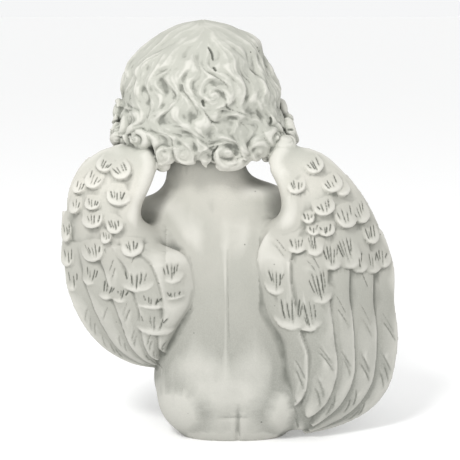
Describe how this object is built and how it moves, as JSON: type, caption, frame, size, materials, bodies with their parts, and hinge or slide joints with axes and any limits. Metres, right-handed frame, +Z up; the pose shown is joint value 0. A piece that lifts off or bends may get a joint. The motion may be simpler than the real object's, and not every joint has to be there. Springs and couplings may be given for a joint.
{
  "type": "cherub statue",
  "caption": "Seated winged cherub with curly hair, cast in one piece, arms folded over drawn-up knees, made to stand on a floor or shelf.",
  "frame": {"origin": "on the floor, under the middle of the bounding box", "axes": "+Z up; the child faces -Y; its own left side and left wing are towards +X"},
  "size_m": [0.2696, 0.1906, 0.3301],
  "materials": {
    "cast_stone": "matt, pale grey cream, slightly darker in the recesses"
  },
  "bodies": {
    "root": {"cherub": "cast_stone"}
  },
  "joints": []
}
